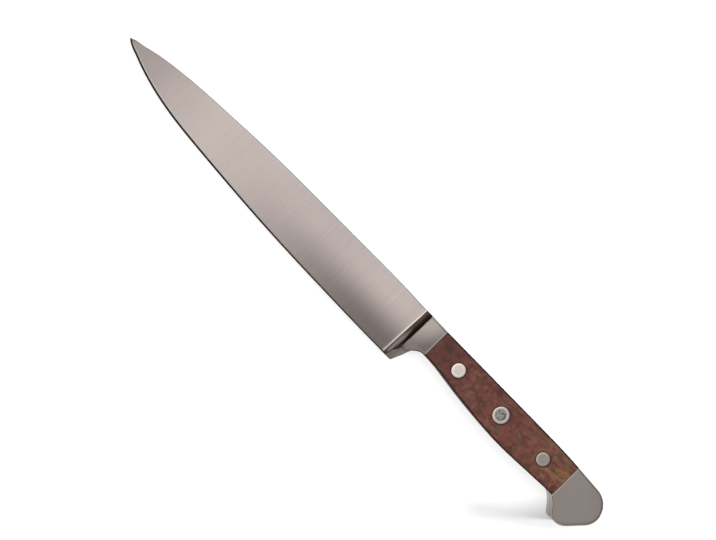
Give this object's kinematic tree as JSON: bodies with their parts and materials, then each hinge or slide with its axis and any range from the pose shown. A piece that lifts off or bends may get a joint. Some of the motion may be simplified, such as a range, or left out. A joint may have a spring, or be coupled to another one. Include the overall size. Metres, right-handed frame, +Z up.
{
  "type": "carving knife",
  "caption": "Carving knife with a slim pointed blade, a full bolster down to the heel, riveted wooden scales and a hooked steel pommel.",
  "frame": {"origin": "centre of the knife's bounding box, on the surface that the knife lies on", "axes": "+X from the tip to the butt, +Y from the cutting edge to the back, +Z up through the thickness"},
  "size_m": [0.3452, 0.0318, 0.0189],
  "materials": {
    "forged_steel": "fine satin, ground",
    "fruit_wood": "oiled, satin",
    "rivet_metal": "ground flush, satin"
  },
  "bodies": {
    "root": {"forged_blade": "forged_steel", "near_scale": "fruit_wood", "far_scale": "fruit_wood", "front_rivet_post": "rivet_metal", "front_rivet_tube": "rivet_metal", "middle_rivet_post": "rivet_metal", "middle_rivet_tube": "rivet_metal", "rear_rivet_post": "rivet_metal", "rear_rivet_tube": "rivet_metal"}
  },
  "joints": []
}
